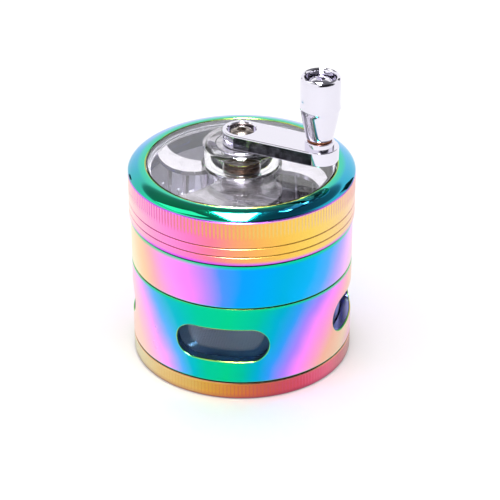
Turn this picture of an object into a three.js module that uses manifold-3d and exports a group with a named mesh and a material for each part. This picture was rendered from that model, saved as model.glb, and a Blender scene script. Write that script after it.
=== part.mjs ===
// Hand-crank herb grinder: a shallow tray, a collector with four windows, a grinding chamber, and a lid
// whose clear window carries a crank, a bladed rotor and a turning knob.
// Millimetres, +Z up. The origin is on the body's axis, at the level of the surface that it stands on.
// Angles run anticlockwise as seen from above, and angle 0 is at the front, along -Y.
import * as THREE from "three";
import { mergeVertices } from "three/addons/utils/BufferGeometryUtils.js";
import Module from "manifold-3d";

const wasm = await Module();
wasm.setup();

// Overall sizes
const BODY_R = 31;
const LID_OVERHANG = 0.5; // the lid stands this far out over the sections below
const TRAY_H = 5.15;
const COLLECTOR_H = 23.5;
const CHAMBER_H = 13.2;
const LID_H = 15.32;
const SEAM = 0.3; // the open line between two stacked sections

// Fits
const FIT = 0.3; // radial clearance of a piece in its bore
const SEAT = 0.15; // gap under a piece that rests on another
const EDGE = 0.3; // small chamfer on turned edges

// Section threads: one helical ridge on each spigot, and one groove in each mouth
const LEAD = 2;
const RIDGE_H = 0.75;
const RIDGE_HALF = 0.3; // half of the ridge's width where it leaves the spigot
const CREST_HALF = 0.18;
const FLANK_GAP = 0.15;
const THREAD_WALL = 2.05; // metal left outside the groove
const THREAD_RING_T = 0.75;
const THREAD_RING_W = 1.2;

// Tray
const TRAY_FLOOR = 1.6;

// Collector
const TRAY_SPIGOT = 3.15; // length of the spigot that screws into the tray
const SPIGOT_WALL = 2;
const SIEVE_LEDGE_W = 3.25;
const SIEVE_LEDGE_T = 1.15;
const SIEVE_T = 0.4;
const CLAMP_RING_W = 1.6;
const CLAMP_RING_T = 1;
const LINER_WALL = 1;
const SLOT_COUNT = 4;
const SLOT_W = 25.76;
const SLOT_H = 10.15;
const SLOT_FLOOR = 6.6; // from the collector's lower face to a window's lower edge

// Chamber
const COLLECTOR_SPIGOT = 4.65; // length of the spigot that screws into the collector
const CHAMBER_WALL = 3.8;
const CHAMBER_FLOOR_Z = 3.95; // from the chamber's lower face to the underside of its floor
const CHAMBER_FLOOR = 2;
const NECK_H = 6.15;
const NECK_WALL = 1.3;
const MAGNET_R = 3.9;
const MAGNET_T = 2;
const MAGNET_COLLAR = 1.4;
const DROP_HOLE_R = 1.9;

// Teeth: the chamber's rings stand between the rotor's rings
const TOOTH_DEPTH = 1.15; // half of a tooth's width along the radius
const TOOTH_WIDTH = 2.1; // half of a tooth's width across the radius
const TOOTH_TIP = 0.45; // share of the width that is left at the tip
const RING_STEP = 2.6;
const TOOTH_PITCH = 16.2; // arc between the chamber teeth of one ring
const HOLE_PITCH = 11.5; // arc between the drop holes of one ring
const ROTOR_RING_R = 10.3;
const ROTOR_TOOTH = 14;
const CHAMBER_TOOTH = 11.2;

// Lid
const LID_BORE_GAP = 0.6; // lid bore over the chamber's neck
const FRICTION_RING_H = 2.1;
const FRICTION_RING_Z = 2.4; // from the lid's lower face to the ring's lower face
const FRICTION_GROOVE = 1.05;
const LINE_GROOVE = 0.35;
const LINE_GROOVES_Z = [2.72, 5.4];
const BEZEL_H = 1.87;
const BEZEL_W = 5.05;
const WINDOW_LEDGE = 1.25;
const SEAL_T = 0.4;
const WINDOW_T = 2.2;
const WINDOW_DROP = 0.17; // the window's top below the bezel's highest point

// Crank drive
const HUB_R = 10.6;
const HUB_TOP_R = 10.1;
const HUB_H = 5.9;
const HUB_FOOT = 0.6;
const SHAFT_R = 3.8;
const BUSH_WALL = 1.15;
const WASHER_T = 0.8;
const THRUST_T = 1.2;
const THRUST_W = 3.9;
const HUB_WASHER_W = 2.9;
const TENON = 4.2; // square ends of the drive shaft
const SCREW_R = 1.3;

// Rotor
const ROTOR_T = 1.2;
const ROTOR_TENON = 2.3; // depth of the square hole for the shaft
const ROTOR_GAP = 0.3; // rotor plate under the window
const TIP_GAP = 0.7; // blade tips inside the window ledge
const ROTOR_HUB_R = 5.8;
const ROTOR_HUB_H = 14.4;

// Crank arm and knob
const ARM_T = 4.1;
const ARM_W = 10.6;
const ARM_REACH = 23.3;
const ARM_ANGLE = 75;
const ARM_CHAMFER = 0.8;
const SCREW_RECESS_R = 3.95;
const SCREW_RECESS = 2.1;
const ARM_WEB = 0.8;
const BOSS_R = 4.05;
const BOSS_H = 1.8;
const KNOB_WASHER_T = 0.3;
const KNOB_H = 18.4;
const KNOB_R = 5.6;
const KNOB_FOOT_R = 3.7;
const KNOB_RIDGE = 9.3; // height of the knob's widest line over its foot
const KNOB_SCREW_R = 1.8;
const KNOB_RECESS_R = 4.15;
const KNOB_RECESS = 3.3;
const KNOB_HEAD_R = 3.4;

// Facets around a full turn
const ROUND = 40;
const SMALL_ROUND = 20;

// Levels and radii that follow from the sizes above
const lidR = BODY_R + LID_OVERHANG;
const collectorZ = TRAY_H + SEAM;
const collectorTop = collectorZ + COLLECTOR_H;
const chamberZ = collectorTop + SEAM;
const chamberTop = chamberZ + CHAMBER_H;
const lidZ = chamberTop + SEAM;
const lidTop = lidZ + LID_H;
const grooveR = BODY_R - THREAD_WALL;
const mouthR = grooveR - RIDGE_H + 0.05;
const spigotR = grooveR - RIDGE_H - FIT;
const ledgeZ = collectorZ + SIEVE_LEDGE_T;
const sieveZ = ledgeZ + SEAT;
const clampZ = sieveZ + SIEVE_T + SEAT;
const linerZ = clampZ + CLAMP_RING_T + SEAT;
const chamberBore = BODY_R - CHAMBER_WALL;
const neckR = chamberBore + NECK_WALL;
const floorZ = chamberZ + CHAMBER_FLOOR_Z;
const floorTop = floorZ + CHAMBER_FLOOR;
const lidBore = neckR + LID_BORE_GAP;
const windowTop = lidTop - WINDOW_DROP;
const windowZ = windowTop - WINDOW_T;
const windowBore = lidR - BEZEL_W;
const windowR = windowBore - FIT;
const sealZ = windowZ - SEAT - SEAL_T;
const windowLedgeZ = sealZ - SEAT;
const windowLedgeR = windowBore - WINDOW_LEDGE;
const rotorTop = windowZ - ROTOR_GAP;
const rotorZ = rotorTop - ROTOR_T;
const rotorTip = windowLedgeR - TIP_GAP;
const rotorHubZ = rotorTop - ROTOR_HUB_H;
const hubTop = windowTop + HUB_H;
const armZ = hubTop + FIT;
const armTop = armZ + ARM_T;
const shaftZ = rotorTop + SEAT;
const shaftTop = armZ - SEAT;
const bushR = SHAFT_R + FIT + BUSH_WALL;
const thrustZ = shaftZ;
const recessZ = armTop - SCREW_RECESS;
const bossTop = armTop + BOSS_H;
const knobWasherZ = bossTop + SEAT;
const knobZ = knobWasherZ + KNOB_WASHER_T + SEAT;
const knobTop = knobZ + KNOB_H;
const knobSeat = knobTop - KNOB_RECESS;

// Finishes
const finish = (color, metalness, roughness) => ({ color, metalness, roughness });
const RAINBOW = finish(0x48a8e0, 1, 0.25);
const ROSE = finish(0xf58ac8, 1, 0.25);
const RUBBER = finish(0x2a2b2e, 0, 0.6);
const GOLD = finish(0xe0a060, 1, 0.3);
const CHROME = finish(0xe4e2ee, 1, 0.12);
const SATIN = finish(0xc9c7cc, 1, 0.4);
const BRONZE = finish(0x9a6a48, 1, 0.4);
const NYLON = finish(0xeeeae0, 0, 0.5);
const CLEAR = finish(0xd8dde0, 0, 0.05);
const MAGNET = finish(0xb8b8bc, 1, 0.3);

// --- Solids -----------------------------------------------------------------------------------------

const solidOf = (geometry) => {
  const bare = geometry.clone();
  bare.deleteAttribute("normal");
  bare.deleteAttribute("uv");
  const merged = mergeVertices(bare, 1e-4);
  const corners = Array.from(merged.index.array);
  const triVerts = [];
  for (let i = 0; i < corners.length; i += 3) {
    const [a, b, c] = corners.slice(i, i + 3);
    if (a !== b && b !== c && c !== a) triVerts.push(a, b, c);
  }
  const vertProperties = merged.attributes.position.array;
  return new wasm.Manifold(
    new wasm.Mesh({ numProp: 3, vertProperties, triVerts: new Uint32Array(triVerts) }),
  );
};

const geometryOf = (solid) => {
  const { vertProperties, triVerts } = solid.getMesh();
  const geometry = new THREE.BufferGeometry();
  geometry.setAttribute("position", new THREE.BufferAttribute(new Float32Array(vertProperties), 3));
  geometry.setIndex(new THREE.BufferAttribute(new Uint32Array(triVerts), 1));
  return geometry;
};

// A profile of [radius, height] points, in either direction, turned about the Z axis.
// A profile that doesn't start on the axis is closed on itself.
const turned = (profile, segments = ROUND) => {
  const points = profile.map(([r, z]) => new THREE.Vector2(r, z));
  if (THREE.ShapeUtils.area(points) < 0) points.reverse();
  if (points[0].x > 0 || points.at(-1).x > 0) points.push(points[0].clone());
  return solidOf(new THREE.LatheGeometry(points, segments).rotateX(Math.PI / 2));
};

const ring = (inner, outer, z, height, segments = ROUND) =>
  turned([[inner, z], [outer, z], [outer, z + height], [inner, z + height]], segments);

const disc = (r, z, height, segments = ROUND) =>
  turned([[0, z], [r, z], [r, z + height], [0, z + height]], segments);

const box = (width, z, height) =>
  solidOf(new THREE.BoxGeometry(width, width, height).translate(0, 0, z + height / 2));

const plate = (shape, z, height) =>
  solidOf(new THREE.ExtrudeGeometry(shape, { depth: height, bevelEnabled: false }).translate(0, 0, z));

const addAll = (first, others) => others.reduce((whole, piece) => whole.add(piece), first);
const cutAll = (first, others) => others.reduce((whole, piece) => whole.subtract(piece), first);

// The point at a radius and an angle from the front.
const around = (r, degrees) => {
  const a = THREE.MathUtils.degToRad(degrees);
  return [r * Math.sin(a), -r * Math.cos(a)];
};

// A helical bar whose section is given as [radius, height] points about its centre line. The bar
// starts at angle 0 and height z, and climbs LEAD in each turn.
const helix = (section, z, turns) => {
  const steps = Math.ceil(turns * ROUND);
  const shape = new THREE.Shape(section.map(([r, h]) => new THREE.Vector2(r, h)));
  const bar = new THREE.ExtrudeGeometry(shape, { depth: 1, steps, bevelEnabled: false });
  const position = bar.attributes.position;
  const sweep = steps / ROUND;
  for (let i = 0; i < position.count; i += 1) {
    const turn = (1 - position.getZ(i)) * sweep;
    const [x, y] = around(position.getX(i), turn * 360);
    position.setXYZ(i, x, y, z + position.getY(i) + LEAD * turn);
  }
  return solidOf(bar);
};

// The ridge's section, or with gaps the groove's, from just inside its root to its crest.
const threadSection = (innerR, outerR, flankGap) => {
  const root = RIDGE_HALF + flankGap;
  const crest = CREST_HALF + flankGap;
  return [[innerR, -root], [outerR, -crest], [outerR, crest], [innerR, root]];
};

// A section's joint with the one below: `mouth` is the lower section's top face.
const threadJoint = (mouth, spigotLength) => {
  const bottom = mouth + SEAM - spigotLength + RIDGE_HALF + SEAT;
  const top = mouth - THREAD_RING_T - RIDGE_HALF - SEAT;
  const ridgeTurns = (top - bottom) / LEAD;
  const grooveTurns = (mouth - bottom) / LEAD;
  const grooveSection = threadSection(mouthR - FIT, grooveR, FLANK_GAP);
  return {
    ridge: helix(threadSection(spigotR - FIT, spigotR + RIDGE_H, 0), bottom, ridgeTurns),
    groove: [
      helix(grooveSection, bottom - LEAD / ROUND, grooveTurns).rotate([0, 0, -360 / ROUND]),
      ring(mouthR - FIT, mouthR + THREAD_RING_W + FIT, mouth - THREAD_RING_T, THREAD_RING_T + SEAM),
    ],
    ringZ: mouth - THREAD_RING_T + SEAT,
  };
};

const threadRing = (joint) => ring(mouthR, mouthR + THREAD_RING_W, joint.ringZ, THREAD_RING_T);

const trayJoint = threadJoint(TRAY_H, TRAY_SPIGOT);
const collectorJoint = threadJoint(collectorTop, COLLECTOR_SPIGOT);

// --- Tray and collector -----------------------------------------------------------------------------

const baseTray = () =>
  cutAll(
    turned([
      [0, 0],
      [BODY_R - 2 * EDGE, 0],
      [BODY_R, 2 * EDGE],
      [BODY_R, TRAY_H - EDGE],
      [BODY_R - EDGE, TRAY_H],
      [mouthR, TRAY_H],
      [mouthR, TRAY_FLOOR],
      [0, TRAY_FLOOR],
    ]),
    trayJoint.groove,
  );

const slotCutter = (angle) => {
  const end = SLOT_H / 2;
  const reach = SLOT_W / 2 - end;
  const outline = new THREE.Shape()
    .absarc(reach, 0, end, -Math.PI / 2, Math.PI / 2)
    .absarc(-reach, 0, end, Math.PI / 2, (3 * Math.PI) / 2);
  const bar = new THREE.ExtrudeGeometry(outline, { depth: BODY_R, bevelEnabled: false, curveSegments: 8 });
  bar.rotateX(Math.PI / 2).translate(0, 0, collectorZ + SLOT_FLOOR + SLOT_H / 2);
  return solidOf(bar).translate([0, -BODY_R / 2, 0]).rotate([0, 0, angle]);
};

const collectorBody = () => {
  const spigotZ = collectorZ - TRAY_SPIGOT;
  const body = turned([
    [spigotR - SPIGOT_WALL, spigotZ],
    [spigotR - EDGE, spigotZ],
    [spigotR, spigotZ + EDGE],
    [spigotR, collectorZ],
    [BODY_R - EDGE, collectorZ],
    [BODY_R, collectorZ + EDGE],
    [BODY_R, collectorTop - EDGE],
    [BODY_R - EDGE, collectorTop],
    [mouthR, collectorTop],
    [mouthR, ledgeZ],
    [mouthR - SIEVE_LEDGE_W, ledgeZ],
    [mouthR - SIEVE_LEDGE_W, collectorZ],
    [spigotR - SPIGOT_WALL, collectorZ - SPIGOT_WALL],
  ]);
  const slots = Array.from({ length: SLOT_COUNT }, (_, i) => slotCutter((i * 360) / SLOT_COUNT));
  return cutAll(body.add(trayJoint.ridge), [...slots, ...collectorJoint.groove]);
};

const sieveClampRing = () =>
  ring(mouthR - FIT - CLAMP_RING_W, mouthR - FIT, clampZ, CLAMP_RING_T);

const windowLiner = () => {
  const top = chamberZ - COLLECTOR_SPIGOT - FIT;
  const outer = mouthR - FIT;
  return ring(outer - LINER_WALL, outer, linerZ, top - linerZ);
};

// --- Chamber ----------------------------------------------------------------------------------------

// A four-sided tapering tooth with its foot at height `foot`, pointing up or, with down, pointing down.
const tooth = (r, angle, foot, height, down = false) => {
  const top = down ? 1 : TOOTH_TIP;
  const bottom = down ? TOOTH_TIP : 1;
  const prism = new THREE.CylinderGeometry(top, bottom, height, 4);
  prism.rotateX(Math.PI / 2).scale(TOOTH_WIDTH, TOOTH_DEPTH, 1);
  prism.translate(0, -r, down ? foot - height / 2 : foot + height / 2);
  return solidOf(prism).rotate([0, 0, angle]);
};

const everyAngle = (count, start, make) =>
  Array.from({ length: count }, (_, i) => make(start + (i * 360) / count));

// Radii of the rings of teeth, from `first` outwards, that fit inside a radius.
const ringsInside = (first, outer) => {
  const count = Math.floor((outer - TOOTH_DEPTH - FIT - first) / (2 * RING_STEP)) + 1;
  return Array.from({ length: count }, (_, i) => first + 2 * i * RING_STEP);
};
const countAround = (r, pitch) => Math.round((2 * Math.PI * r) / pitch);
const rotorRings = ringsInside(ROTOR_RING_R, rotorTip);
const chamberRings = ringsInside(ROTOR_RING_R + RING_STEP, chamberBore);

const chamberBody = () => {
  const spigotZ = chamberZ - COLLECTOR_SPIGOT;
  const neckTop = chamberTop + NECK_H;
  const pocketR = MAGNET_R + FIT;
  const collarTop = floorTop + MAGNET_T + FIT;
  const body = turned([
    [0, floorZ],
    [spigotR - SPIGOT_WALL, floorZ],
    [spigotR - SPIGOT_WALL, spigotZ],
    [spigotR - EDGE, spigotZ],
    [spigotR, spigotZ + EDGE],
    [spigotR, chamberZ],
    [BODY_R - EDGE, chamberZ],
    [BODY_R, chamberZ + EDGE],
    [BODY_R, chamberTop - EDGE],
    [BODY_R - EDGE, chamberTop],
    [neckR, chamberTop],
    [neckR, neckTop - EDGE],
    [neckR - EDGE, neckTop],
    [chamberBore, neckTop],
    [chamberBore, floorTop],
    [pocketR + MAGNET_COLLAR, floorTop],
    [pocketR + MAGNET_COLLAR, collarTop],
    [pocketR, collarTop],
    [pocketR, floorTop],
    [0, floorTop],
  ]);
  const toothFoot = floorTop - EDGE;
  const teeth = chamberRings.flatMap((r, index) =>
    everyAngle(countAround(r, TOOTH_PITCH), 11 * index, (a) => tooth(r, a, toothFoot, CHAMBER_TOOTH)),
  );
  const hole = (r, angle) =>
    disc(DROP_HOLE_R, floorZ - 1, CHAMBER_FLOOR + 2, 12).translate([...around(r, angle), 0]);
  const holes = rotorRings.slice(1).flatMap((r) =>
    everyAngle(countAround(r, HOLE_PITCH), 0, (a) => hole(r, a)),
  );
  return cutAll(addAll(body.add(collectorJoint.ridge), teeth), holes);
};

const chamberMagnet = () => disc(MAGNET_R, floorTop + SEAT, MAGNET_T, SMALL_ROUND);

// --- Lid --------------------------------------------------------------------------------------------

const lidRing = () => {
  const grooveZ = lidZ + FRICTION_RING_Z - SEAT;
  const grooveTop = grooveZ + FRICTION_RING_H + 2 * SEAT;
  const grooveBottomR = lidBore + FRICTION_GROOVE;
  const neckStop = chamberTop + NECK_H + 1;
  const bezelZ = lidTop - BEZEL_H;
  const lines = LINE_GROOVES_Z.flatMap((z) => [
    [lidR, lidZ + z - LINE_GROOVE / 2],
    [lidR - LINE_GROOVE, lidZ + z],
    [lidR, lidZ + z + LINE_GROOVE / 2],
  ]);
  // The bezel leaves the wall upright, turns in tightly, and flattens all the way to the window.
  const bezel = [0, 0.04, 0.15, 0.4, 0.7, 1].map((t) => [
    lidR - BEZEL_W * t ** 1.5,
    bezelZ + BEZEL_H * (1 - (1 - t) ** 1.9),
  ]);
  return turned([
    [lidBore, lidZ],
    [lidR - 2 * EDGE, lidZ],
    [lidR, lidZ + 2 * EDGE],
    ...lines,
    ...bezel,
    [windowBore, windowLedgeZ],
    [windowLedgeR, windowLedgeZ],
    [windowLedgeR, windowLedgeZ - 0.6],
    [chamberBore, windowLedgeZ - 1.6],
    [chamberBore, neckStop + NECK_WALL],
    [lidBore, neckStop],
    [lidBore, grooveTop],
    [grooveBottomR, grooveTop],
    [grooveBottomR, grooveZ],
    [lidBore, grooveZ],
  ]);
};

const lidFrictionRing = () =>
  ring(neckR + FIT, lidBore + FRICTION_GROOVE - FIT, lidZ + FRICTION_RING_Z, FRICTION_RING_H);

const windowSeal = () => ring(windowLedgeR + SEAT, windowR, sealZ, SEAL_T);

const lidWindow = () => {
  const bore = bushR + FIT;
  const thrustBore = SHAFT_R + FIT + THRUST_W + FIT;
  const washerBore = SHAFT_R + FIT + HUB_WASHER_W + FIT;
  const thrustTop = thrustZ + THRUST_T + SEAT;
  const washerZ = shaftTop - WASHER_T - SEAT;
  return turned([
    [thrustBore, windowZ],
    [windowR, windowZ],
    [windowR, windowTop - EDGE],
    [windowR - EDGE, windowTop],
    [HUB_R + HUB_FOOT, windowTop],
    [HUB_R, windowTop + HUB_FOOT],
    [HUB_TOP_R, hubTop - EDGE],
    [HUB_TOP_R - EDGE, hubTop],
    [washerBore, hubTop],
    [washerBore, washerZ],
    [bore, washerZ],
    [bore, thrustTop],
    [thrustBore, thrustTop],
  ]);
};

// --- Crank drive ------------------------------------------------------------------------------------

const thrustWasher = () => ring(SHAFT_R + FIT, SHAFT_R + FIT + THRUST_W, thrustZ, THRUST_T, SMALL_ROUND);

const hubWasher = () =>
  ring(SHAFT_R + FIT, SHAFT_R + FIT + HUB_WASHER_W, shaftTop - WASHER_T, WASHER_T, SMALL_ROUND);

// The bush has three turned grooves around it.
const driveBush = () => {
  const z = thrustZ + THRUST_T + 2 * SEAT;
  const top = shaftTop - WASHER_T - 2 * SEAT;
  const bottomR = bushR - 0.4;
  const grooves = [0.25, 0.5, 0.75].flatMap((share) => {
    const middle = z + (top - z) * share;
    return [[bushR, middle - 0.5], [bottomR, middle - 0.3], [bottomR, middle + 0.3], [bushR, middle + 0.5]];
  });
  return turned(
    [[SHAFT_R + FIT, z], [bushR, z], ...grooves, [bushR, top], [SHAFT_R + FIT, top]],
    SMALL_ROUND,
  );
};

const tenonBottom = rotorTop - ROTOR_TENON;
const tenonTop = recessZ - ARM_WEB - 2 * SEAT;

const driveShaft = () => {
  const body = disc(SHAFT_R, shaftZ, shaftTop - shaftZ, SMALL_ROUND);
  const square = box(TENON, tenonBottom, tenonTop - tenonBottom);
  const bore = SCREW_R + FIT;
  const upper = disc(bore, shaftTop - 4.5, tenonTop - shaftTop + 5, 12);
  const lower = disc(bore, tenonBottom - 0.5, shaftZ - tenonBottom + 2.4, 12);
  return cutAll(body.add(square), [upper, lower]);
};

// A screw with its head's underside at height `seat`. A domed head has a socket in its top.
const screwShank = (r, from, to) => disc(r, from, to - from, 12);
const domedHead = (r, seat, height, socketR) => {
  const dome = turned([
    [0, seat],
    [r, seat],
    [r, seat + height * 0.35],
    [r * 0.86, seat + height * 0.72],
    [r * 0.6, seat + height * 0.93],
    [0, seat + height],
  ], SMALL_ROUND);
  return dome.subtract(disc(socketR, seat + height * 0.45, height, 6));
};

const crankArm = () => {
  const [x, y] = around(ARM_REACH, ARM_ANGLE);
  const half = ARM_W / 2 - ARM_CHAMFER;
  const outline = new THREE.Shape()
    .absarc(ARM_REACH, 0, half, -Math.PI / 2, Math.PI / 2)
    .absarc(0, 0, half, Math.PI / 2, (3 * Math.PI) / 2);
  const bar = new THREE.ExtrudeGeometry(outline, {
    depth: ARM_T - 2 * ARM_CHAMFER,
    bevelThickness: ARM_CHAMFER,
    bevelSize: ARM_CHAMFER,
    bevelSegments: 1,
    curveSegments: 12,
  }).translate(0, 0, armZ + ARM_CHAMFER);
  const boss = disc(BOSS_R, armTop - 1, BOSS_H + 1, SMALL_ROUND).translate([x, y, 0]);
  const arm = solidOf(bar).rotate([0, 0, ARM_ANGLE - 90]).add(boss);
  return cutAll(arm, [
    disc(SCREW_RECESS_R, recessZ, SCREW_RECESS + 1, SMALL_ROUND),
    disc(SCREW_R + FIT, armZ - 1, ARM_T + 2, 12),
    box(TENON + 2 * FIT, armZ - 1, recessZ - ARM_WEB - armZ + 1),
    disc(KNOB_SCREW_R + FIT, armZ + 1, ARM_T + BOSS_H, 12).translate([x, y, 0]),
  ]);
};

const crankScrew = () => {
  const seat = recessZ + SEAT;
  return domedHead(SCREW_RECESS_R - 2 * FIT, seat, SCREW_RECESS - 2 * SEAT, 1.4)
    .add(screwShank(SCREW_R, shaftTop - 4, seat + 0.3));
};

// Rotor blades. Both edges of a slim blade and one edge of a wide blade sweep back towards the tip.
const SWEEP_FROM = 11;
const sweep = (r) => (Math.max(r - SWEEP_FROM, 0) / (rotorTip - SWEEP_FROM)) ** 2;
const trailingEdge = (r) => 117.5 - 34 * sweep(r);
const leadingEdge = (r) => 87 - 17 * sweep(r);
const wideTrailingEdge = (r) => trailingEdge(r) - 60;
const wideLeadingEdge = (r) => -26.5 - 8 * sweep(r);

const blade = (leading, trailing, turnedBy) => {
  const inner = ROTOR_HUB_R;
  const radii = Array.from({ length: 9 }, (_, i) => inner + ((rotorTip - inner) * i) / 8);
  const tipAngle = (t) => leading(rotorTip) + (trailing(rotorTip) - leading(rotorTip)) * t;
  const outline = [
    ...radii.map((r) => around(r, leading(r))),
    ...[0.2, 0.4, 0.6, 0.8].map((t) => around(rotorTip, tipAngle(t))),
    ...radii.reverse().map((r) => around(r, trailing(r))),
    [0, 0],
  ];
  const shape = new THREE.Shape(outline.map(([x, y]) => new THREE.Vector2(x, y)));
  return plate(shape, rotorZ, ROTOR_T).rotate([0, 0, turnedBy]);
};

const bladeTeeth = (leading, trailing, shares, turnedBy) =>
  rotorRings.flatMap((r) =>
    shares.map((share) => {
      const angle = leading(r) + (trailing(r) - leading(r)) * share;
      return tooth(r, angle + turnedBy, rotorZ + EDGE, ROTOR_TOOTH, true);
    }),
  );

const rotorHeadR = 2.8;
const rotorMagnetZ = rotorHubZ + SEAT;
const rotorHeadZ = rotorMagnetZ + MAGNET_T + 2 * FIT;
const rotorHeadTop = rotorHeadZ + 2.05;

const rotor = () => {
  const hub = disc(ROTOR_HUB_R, rotorHubZ, rotorTop - rotorHubZ, SMALL_ROUND);
  const parts = [0, 180].flatMap((half) => [
    blade(leadingEdge, trailingEdge, half),
    blade(wideLeadingEdge, wideTrailingEdge, half),
    ...bladeTeeth(leadingEdge, trailingEdge, [0.5], half),
    ...bladeTeeth(wideLeadingEdge, wideTrailingEdge, [0.2, 0.8], half),
  ]);
  return cutAll(addAll(hub, parts), [
    box(TENON + 2 * FIT, tenonBottom - SEAT, ROTOR_TENON + 1),
    disc(SCREW_R + FIT, rotorHubZ, ROTOR_HUB_H, 12),
    disc(rotorHeadR + FIT, rotorHubZ, rotorHeadTop + SEAT - rotorHubZ, SMALL_ROUND),
    disc(MAGNET_R + FIT, rotorHubZ - 1, MAGNET_T + FIT + SEAT + 1, SMALL_ROUND),
  ]);
};

const rotorMagnet = () => disc(MAGNET_R, rotorMagnetZ, MAGNET_T, SMALL_ROUND);

const rotorScrew = () =>
  disc(rotorHeadR, rotorHeadZ, rotorHeadTop - rotorHeadZ, SMALL_ROUND)
    .add(screwShank(SCREW_R, rotorHeadTop - 0.3, shaftZ + 1.4));

// --- Knob -------------------------------------------------------------------------------------------

const knobWasher = () =>
  ring(KNOB_SCREW_R + FIT, KNOB_FOOT_R - 0.3, knobWasherZ, KNOB_WASHER_T, SMALL_ROUND);

const knobGrip = () => {
  const bore = KNOB_SCREW_R + FIT;
  return turned([
    [bore, knobZ],
    [KNOB_FOOT_R - EDGE, knobZ],
    [KNOB_FOOT_R, knobZ + EDGE],
    [KNOB_R - 0.25, knobZ + KNOB_RIDGE - 0.5],
    [KNOB_R, knobZ + KNOB_RIDGE],
    [KNOB_R - 0.15, knobZ + KNOB_RIDGE + 0.5],
    [KNOB_R - 0.05, knobTop - 5],
    [KNOB_R - 0.2, knobTop - 1],
    [KNOB_R - 0.5, knobTop - 0.25],
    [KNOB_R - 0.85, knobTop],
    [KNOB_RECESS_R + 0.25, knobTop - 0.2],
    [KNOB_RECESS_R, knobTop - 0.7],
    [KNOB_RECESS_R, knobSeat],
    [bore, knobSeat],
  ], SMALL_ROUND);
};

const knobScrew = () =>
  domedHead(KNOB_HEAD_R, knobSeat + FIT, KNOB_RECESS - 4 * FIT, 1.3)
    .add(screwShank(KNOB_SCREW_R, armZ + 1 + FIT, knobSeat + 2 * FIT));

// --- Assembly ---------------------------------------------------------------------------------------

const grinder = new THREE.Group();
const [knobX, knobY] = around(ARM_REACH, ARM_ANGLE);

const section = () => {
  const group = new THREE.Group();
  grinder.add(group);
  return group;
};

const fit = (group, name, solid, look) => {
  const mesh = new THREE.Mesh(geometryOf(solid), new THREE.MeshStandardMaterial(look));
  mesh.name = name;
  group.add(mesh);
};

const tray = section();
fit(tray, "base_tray", baseTray(), GOLD);
fit(tray, "lower_thread_ring", threadRing(trayJoint), NYLON);

const collector = section();
fit(collector, "collector_body", collectorBody(), RAINBOW);
fit(collector, "sieve_mesh", disc(mouthR - FIT, sieveZ, SIEVE_T), SATIN);
fit(collector, "sieve_clamp_ring", sieveClampRing(), SATIN);
fit(collector, "window_liner", windowLiner(), CLEAR);
fit(collector, "upper_thread_ring", threadRing(collectorJoint), NYLON);

const chamber = section();
fit(chamber, "chamber_body", chamberBody(), RAINBOW);
fit(chamber, "chamber_magnet", chamberMagnet(), MAGNET);

const lid = section();
fit(lid, "lid_friction_ring", lidFrictionRing(), NYLON);
fit(lid, "lid_ring", lidRing(), ROSE);
fit(lid, "window_seal", windowSeal(), RUBBER);
fit(lid, "lid_window", lidWindow(), CLEAR);
fit(lid, "drive_bush", driveBush(), BRONZE);
fit(lid, "thrust_washer", thrustWasher(), SATIN);
fit(lid, "hub_washer", hubWasher(), SATIN);

const crank = section();
fit(crank, "drive_shaft", driveShaft(), CHROME);
fit(crank, "rotor", rotor(), SATIN);
fit(crank, "rotor_screw", rotorScrew(), CHROME);
fit(crank, "rotor_magnet", rotorMagnet(), MAGNET);
fit(crank, "crank_arm", crankArm(), CHROME);
fit(crank, "crank_screw", crankScrew(), CHROME);

const knob = new THREE.Group();
knob.position.set(knobX, knobY, 0);
crank.add(knob);
fit(knob, "knob_screw", knobScrew(), CHROME);
fit(knob, "knob_washer", knobWasher(), BRONZE);
fit(knob, "knob_grip", knobGrip(), CHROME);

export default grinder;
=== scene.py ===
# %% [markdown]
# # A hand-crank herb grinder
#
# The grinder is a stack of four turned zinc sections that screw together: a powder tray, a collector
# with four windows, a grinding chamber and a lid. A crank on the lid turns a toothed rotor.
# The CAD model is loaded first and gives every place and size. Each cell below then makes one piece
# or one finish in full detail, and lets it ride on the CAD body that it belongs to.

from math import atan2, ceil, cos, degrees, hypot, pi, radians, sin

import bmesh
import bpy
from mathutils import Matrix, Vector


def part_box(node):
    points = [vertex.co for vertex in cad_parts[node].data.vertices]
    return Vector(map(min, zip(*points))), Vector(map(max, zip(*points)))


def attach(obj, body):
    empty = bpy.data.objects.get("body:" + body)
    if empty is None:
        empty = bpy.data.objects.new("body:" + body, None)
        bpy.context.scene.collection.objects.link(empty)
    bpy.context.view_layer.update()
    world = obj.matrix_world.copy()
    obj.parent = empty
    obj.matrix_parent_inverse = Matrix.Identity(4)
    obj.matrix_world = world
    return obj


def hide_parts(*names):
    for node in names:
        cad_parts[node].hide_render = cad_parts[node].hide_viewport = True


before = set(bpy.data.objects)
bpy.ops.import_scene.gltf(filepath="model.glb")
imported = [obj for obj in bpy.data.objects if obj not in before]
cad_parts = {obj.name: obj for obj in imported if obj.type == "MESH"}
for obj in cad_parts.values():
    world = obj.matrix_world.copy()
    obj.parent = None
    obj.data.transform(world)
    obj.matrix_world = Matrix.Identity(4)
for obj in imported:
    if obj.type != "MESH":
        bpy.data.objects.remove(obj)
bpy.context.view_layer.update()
MM = 0.001

# %% [markdown]
# ## Levels from the CAD
#
# Every height and radius comes from the boxes of the CAD nodes, so the pieces fit with no guessing.
# A machinist would read the same numbers off a drawing before turning the parts.

# %% Read the main levels
def levels(node):
    """The lowest height, highest height and outer radius of a CAD node, in millimetres."""
    low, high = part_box(node)
    return low.z / MM, high.z / MM, (high.x - low.x) / 2 / MM


def around(radius, angle):
    """The point at a radius and at an angle in degrees, anticlockwise from the front."""
    return radius * sin(radians(angle)), -radius * cos(radians(angle))


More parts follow.
